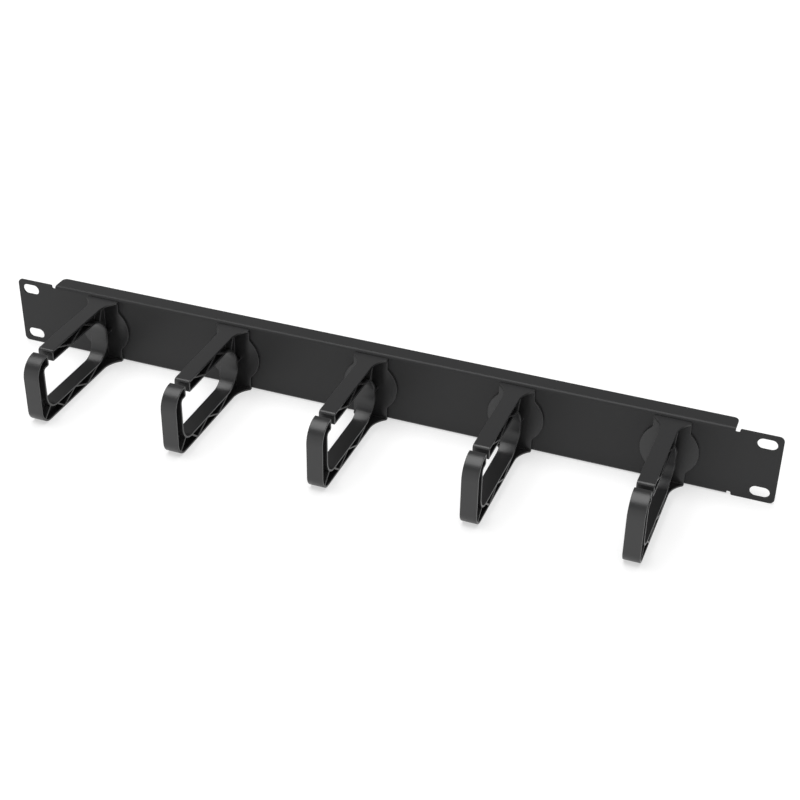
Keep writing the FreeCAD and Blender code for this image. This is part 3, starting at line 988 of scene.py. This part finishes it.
@dataclass
class RackPanel:
    """The folded sheet panel, cut flat, bent, thickened and then pierced.

    The outer sizes and the ring places come from the frame.
    """

    low: Vector
    high: Vector
    ring_places: tuple[float, ...]
    sheet: float = 1.2 * MM
    bend_radius: float = 2.0 * MM
    bend_facets: int = 10
    ear_length: float = 26.8 * MM
    flange_corner: float = 3.0 * MM
    notch_width: float = 2.4 * MM
    notch_depth: float = 2.2 * MM
    notch_radius: float = 0.9 * MM
    ear_corner: float = 3.0 * MM
    ear_lip: float = 0.9 * MM
    slot_inset: float = 8.75 * MM
    slot_spacing: float = 31.75 * MM
    slot_length: float = 11.2 * MM
    slot_height: float = 6.6 * MM
    slot_facets: int = 14
    hole_radius: float = 10.3 * MM
    hole_facets: int = 64
    key_width: float = 4.5 * MM
    key_reach: float = 11.75 * MM
    corner_facets: int = 8
    edge_radius: float = 0.2 * MM
    edge_facets: int = 3

    @property
    def half_width(self) -> float:
        """Return half the panel's width."""
        return (self.high.x - self.low.x) / 2

    @property
    def half_height(self) -> float:
        """Return half the panel's height."""
        return (self.high.z - self.low.z) / 2

    @property
    def flange_end(self) -> float:
        """Return where a flange ends, from the panel's middle."""
        return self.half_width - self.ear_length

    @property
    def ear_start(self) -> float:
        """Return where an ear starts, from the panel's middle."""
        return self.flange_end + self.notch_width

    @property
    def notch_foot(self) -> float:
        """Return the height of the foot of a bend relief, from the middle."""
        return self.half_height - self.notch_depth

    @property
    def cutter_reach(self) -> float:
        """Return how far a cutter reaches to each side of the sheet's middle."""
        return 2 * self.sheet

    @property
    def key_cutter_reach(self) -> float:
        """Return the same for a key, which ends inside the round cutter."""
        return 1.5 * self.sheet

    def build(self) -> Piece:
        """Build the whole panel.

        Returns:
            The finished panel.
        """
        panel = self.cut_sheet()
        self.fold_flanges(panel)
        self.round_sheet_corners(panel)
        use_modifier(panel, "SOLIDIFY", thickness=self.sheet, offset=-1, use_even_offset=True)
        self.pierce(panel)
        merge_flat_faces(panel)
        round_edges(panel, self.edge_radius, self.edge_facets)
        return panel

    def cut_sheet(self) -> Piece:
        """Cut the flat front of the sheet with its four bend reliefs.

        Returns:
            The sheet, without thickness.
        """
        put_away()
        bpy.ops.mesh.primitive_plane_add(
            size=1, location=(0, self.low.y, 0), rotation=(QUARTER_TURN, 0, 0)
        )
        sheet = bpy.context.object
        sheet.scale = (2 * self.half_width, 2 * self.half_height, 1)
        settle(sheet)

        def in_relief(face: Face) -> bool:
            place = face.calc_center_median()
            beside_flange = self.flange_end < abs(place.x) < self.ear_start
            return beside_flange and abs(place.z) > self.notch_foot

        with editing(sheet):
            for side in (1, -1):
                for across in (self.flange_end, self.ear_start):
                    cut_all(Vector((side * across, 0, 0)), Axis.X)
                cut_all(Vector((0, 0, side * self.notch_foot)), Axis.Z)
            pick(Element.FACE, in_relief)
            bpy.ops.mesh.delete(type="FACE")
        return sheet

    def fold_flanges(self, panel: Piece) -> None:
        """Draw both flanges back from the sheet and round the two long bends.

        Args:
            panel: The flat sheet.
        """

        def at_fold(edge: Edge) -> bool:
            place = middle(edge)
            level = runs_along(edge, Axis.X) and near(abs(place.z), self.half_height)
            return level and near(place.y, self.low.y) and abs(place.x) < self.flange_end

        with editing(panel):
            pick(Element.EDGE, at_fold)
            draw_out((0, self.high.y - self.low.y, 0))
            pick(Element.EDGE, at_fold)
            round_picked(self.bend_radius, self.bend_facets, Element.EDGE)
            turn_outwards()
            if pick(Element.FACE, lambda face: faces_along(face, Axis.Y, 1)):
                pick_all()
                bpy.ops.mesh.flip_normals()

    def round_sheet_corner(self, across: float, back: float, up: float, radius: float) -> None:
        """Round the corners of the sheet that mirror one place left, right, up and down.

        Args:
            across: The distance from the panel's middle.
            back: The place along Y.
            up: The distance above or below the middle.
            radius: The radius that they get.
        """

        def at_corner(vertex: Vertex) -> bool:
            place = vertex.co
            level = near(abs(place.z), up) and near(place.y, back)
            return level and near(abs(place.x), across)

        pick(Element.VERTEX, at_corner)
        round_picked(radius, self.corner_facets, Element.VERTEX)

    def round_sheet_corners(self, panel: Piece) -> None:
        """Round the corners of ears, flanges and bend reliefs.

        Args:
            panel: The folded sheet, without thickness.
        """
        front, rear = self.low.y, self.high.y
        with editing(panel):
            dissolve_flat()
            self.round_sheet_corner(self.half_width, front, self.half_height, self.ear_corner)
            self.round_sheet_corner(self.flange_end, rear, self.half_height, self.flange_corner)
            self.round_sheet_corner(self.flange_end, front, self.notch_foot, self.notch_radius)
            self.round_sheet_corner(self.ear_start, front, self.notch_foot, self.notch_radius)
            self.round_sheet_corner(self.ear_start, front, self.half_height, self.ear_lip)

    def pierce(self, panel: Piece) -> None:
        """Cut the four rack slots and the five keyed holes.

        Args:
            panel: The thick, folded sheet.
        """
        for side in (1, -1):
            for rise in (1, -1):
                across = side * (self.half_width - self.slot_inset)
                cutter = self.slot_cutter(across, rise * self.slot_spacing / 2)
                combine(panel, cutter, "DIFFERENCE")
        for across in self.ring_places:
            combine(panel, self.hole_cutter(across), "DIFFERENCE")

    def slot_cutter(self, across: float, up: float) -> Piece:
        """Make a bar with round ends, to cut one rack slot.

        Args:
            across: The middle of the slot along X.
            up: Its height.

        Returns:
            The cutter.
        """
        half = Vector((self.slot_length / 2, self.cutter_reach, self.slot_height / 2))
        centre = Vector((across, self.low.y + self.sheet / 2, up))
        cutter = add_box(centre - half, centre + half)
        with editing(cutter):
            pick(Element.EDGE, lambda edge: runs_along(edge, Axis.Y))
            round_picked(self.slot_height / 2, self.slot_facets, Element.EDGE)
            merge_close()
        return cutter

    def hole_cutter(self, across: float) -> Piece:
        """Make a round bar with a slanted key, to cut one hole for the claws.

        Args:
            across: The middle of the hole along X.

        Returns:
            The cutter.
        """
        centre = Vector((across, self.low.y + self.sheet / 2, 0))
        put_away()
        bpy.ops.mesh.primitive_cylinder_add(
            vertices=self.hole_facets,
            radius=self.hole_radius,
            depth=2 * self.cutter_reach,
            location=centre,
            rotation=(QUARTER_TURN, 0, 0),
        )
        cutter = bpy.context.object
        settle(cutter)
        half = Vector((self.key_reach / 2, self.key_cutter_reach, self.key_width / 2))
        key = add_box(-half, half)
        key.data.transform(Matrix.Translation((self.key_reach / 2, 0, 0)))
        key.data.transform(Matrix.Rotation(-QUARTER_TURN / 2, 4, "Y"))
        key.data.transform(Matrix.Translation(centre))
        combine(cutter, key, "UNION")
        return cutter


# ----------------------------------------------------------------------- the studio


@dataclass(frozen=True)
class Studio:
    """A pale floor, a soft overhead light, pale walls all round and the camera."""

    floor_height: float
    floor_size: float = 12.0
    floor_colour: float = 0.95
    floor_glow: float = 1.25
    floor_glow_share: float = 0.42
    floor_roughness: float = 0.9
    sun_strength: float = 2.3
    sun_angle: float = math.radians(56)
    sun_lean: float = math.radians(8)
    wall_level: float = 0.95
    ceiling_level: float = 0.35
    wall_top: float = math.radians(24)
    ceiling_edge: float = math.radians(34)
    dim_side: tuple[float, float, float] = (0.45, 0.9, 0.0)
    dim_share: float = 0.45
    dim_start: float = -0.3
    dim_end: float = 0.5
    camera_place: tuple[float, float, float] = (0.2851, -0.7200, 0.4819)
    camera_azimuth: float = math.radians(20.36)
    camera_fall: float = math.radians(32.51)
    camera_roll: float = math.radians(1.0)
    camera_lens: float = 68.86
    camera_sensor: float = 36.0

    def build(self) -> None:
        """Set the stage."""
        self.lay_floor()
        self.light_world()
        self.hang_light()
        self.place_camera()

    def lay_floor(self) -> None:
        """Lay a plain pale floor under the object, which looks white where it is clear.

        The camera, reflections and clear pieces see part of it glow, so that it is
        white and its shadows stay light.  It lights the object as a plain pale floor.
        """
        put_away()
        bpy.ops.mesh.primitive_plane_add(size=self.floor_size, location=(0, 0, self.floor_height))
        floor = bpy.context.object
        floor.name = "floor"
        material = bpy.data.materials.new("pale floor")
        material.use_nodes = True
        nodes, links = material.node_tree.nodes, material.node_tree.links
        shader = nodes["Principled BSDF"]
        shader.inputs["Base Color"].default_value = (*[self.floor_colour] * 3, 1)
        shader.inputs["Roughness"].default_value = self.floor_roughness
        shader.inputs["Specular IOR Level"].default_value = 0.0
        glow = nodes.new("ShaderNodeEmission")
        glow.inputs["Strength"].default_value = self.floor_glow
        rays = nodes.new("ShaderNodeLightPath")
        share = rays.outputs["Is Camera Ray"]
        for kind in ("Is Glossy Ray", "Is Transmission Ray"):
            either = nodes.new("ShaderNodeMath")
            either.operation = "MAXIMUM"
            links.new(share, either.inputs[0])
            links.new(rays.outputs[kind], either.inputs[1])
            share = either.outputs["Value"]
        part = nodes.new("ShaderNodeMath")
        part.operation = "MULTIPLY"
        part.inputs[1].default_value = self.floor_glow_share
        links.new(share, part.inputs[0])
        mix = nodes.new("ShaderNodeMixShader")
        links.new(part.outputs["Value"], mix.inputs["Fac"])
        links.new(shader.outputs["BSDF"], mix.inputs[1])
        links.new(glow.outputs["Emission"], mix.inputs[2])
        links.new(mix.outputs["Shader"], nodes["Material Output"].inputs["Surface"])
        floor.data.materials.append(material)

    def light_world(self) -> None:
        """Surround the stage with pale walls, dimmer behind, under a dim ceiling."""
        world = bpy.data.worlds.new("studio")
        bpy.context.scene.world = world
        world.use_nodes = True
        nodes, links = world.node_tree.nodes, world.node_tree.links
        background = nodes["Background"]
        place = nodes.new("ShaderNodeTexCoord")
        split = nodes.new("ShaderNodeSeparateXYZ")
        level = nodes.new("ShaderNodeMapRange")
        level.interpolation_type = "SMOOTHSTEP"
        level.inputs["From Min"].default_value = math.sin(self.wall_top)
        level.inputs["From Max"].default_value = math.sin(self.ceiling_edge)
        level.inputs["To Min"].default_value = self.wall_level
        level.inputs["To Max"].default_value = self.ceiling_level
        links.new(place.outputs["Generated"], split.inputs["Vector"])
        links.new(split.outputs["Z"], level.inputs["Value"])
        side = nodes.new("ShaderNodeVectorMath")
        side.operation = "DOT_PRODUCT"
        side.inputs[1].default_value = self.dim_side
        links.new(place.outputs["Generated"], side.inputs[0])
        dimmer = nodes.new("ShaderNodeMapRange")
        dimmer.interpolation_type = "SMOOTHSTEP"
        dimmer.inputs["From Min"].default_value = self.dim_start
        dimmer.inputs["From Max"].default_value = self.dim_end
        dimmer.inputs["To Min"].default_value = 1.0
        dimmer.inputs["To Max"].default_value = self.dim_share
        links.new(side.outputs["Value"], dimmer.inputs["Value"])
        strength = nodes.new("ShaderNodeMath")
        strength.operation = "MULTIPLY"
        links.new(level.outputs["Result"], strength.inputs[0])
        links.new(dimmer.outputs["Result"], strength.inputs[1])
        links.new(strength.outputs["Value"], background.inputs["Strength"])
        background.inputs["Color"].default_value = (1, 1, 1, 1)

    def hang_light(self) -> None:
        """Hang a broad soft light overhead, leaning a little to the left."""
        light = bpy.data.lights.new("overhead", "SUN")
        light.energy = self.sun_strength
        light.angle = self.sun_angle
        overhead = bpy.data.objects.new("overhead", light)
        overhead.rotation_euler = (0, -self.sun_lean, 0)
        bpy.context.scene.collection.objects.link(overhead)

    def place_camera(self) -> None:
        """Aim the camera down at the panel from its front right."""
        data = bpy.data.cameras.new("camera")
        data.lens = self.camera_lens
        data.sensor_width = self.camera_sensor
        camera = bpy.data.objects.new("camera", data)
        bpy.context.scene.collection.objects.link(camera)
        turn = (
            Matrix.Rotation(self.camera_azimuth, 4, "Z")
            @ Matrix.Rotation(QUARTER_TURN - self.camera_fall, 4, "X")
            @ Matrix.Rotation(self.camera_roll, 4, "Z")
        )
        camera.matrix_world = Matrix.Translation(self.camera_place) @ turn
        bpy.context.scene.camera = camera


# --------------------------------------------------------------------- the assembly


def dress(piece: Piece, name: str, finish: bpy.types.Material) -> None:
    """Give a piece its finish and let it stand for its node of the frame.

    Args:
        piece: The finished piece.
        name: The node that it stands for.
        finish: The material that covers it.
    """
    piece.name = f"{name}_dressed"
    piece.data.name = piece.name
    piece.data.materials.clear()
    piece.data.materials.append(finish)
    for face in piece.data.polygons:
        face.material_index = 0
    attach(piece, BODY)
    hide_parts(name)
    log.info("%s: %d faces", piece.name, len(piece.data.polygons))


def main() -> None:
    """Build the studio, the panel and the rings."""
    logging.basicConfig(level=logging.INFO)
    bpy.context.scene.view_settings.view_transform = "Standard"
    panel_low, panel_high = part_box("rack_panel")
    ring_names = sorted(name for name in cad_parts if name.startswith("cable_ring"))
    ring_boxes = {name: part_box(name) for name in ring_names}
    ring_places = {name: (low.x + high.x) / 2 for name, (low, high) in ring_boxes.items()}

    Studio(floor_height=panel_low.z).build()

    coat = POWDER_COAT.build()
    panel = RackPanel(low=panel_low, high=panel_high, ring_places=tuple(ring_places.values())).build()
    dress(panel, "rack_panel", coat)

    plastic = MOULDED_PLASTIC.build()
    low, high = ring_boxes[ring_names[0]]
    rings = CableRing(
        reach=panel_low.y - low.y,
        height=high.z - low.z,
        disc_radius=(high.x - low.x) / 2,
        hole_height=-low.z,
        claw_reach=high.y - panel_low.y,
    )
    pattern = rings.build()
    for name, across in ring_places.items():
        foot = Vector((across, panel_low.y, low.z))
        dress(rings.place_copy(pattern, name, foot), name, plastic)
    bpy.data.objects.remove(pattern)


if __name__ == "__main__":
    main()
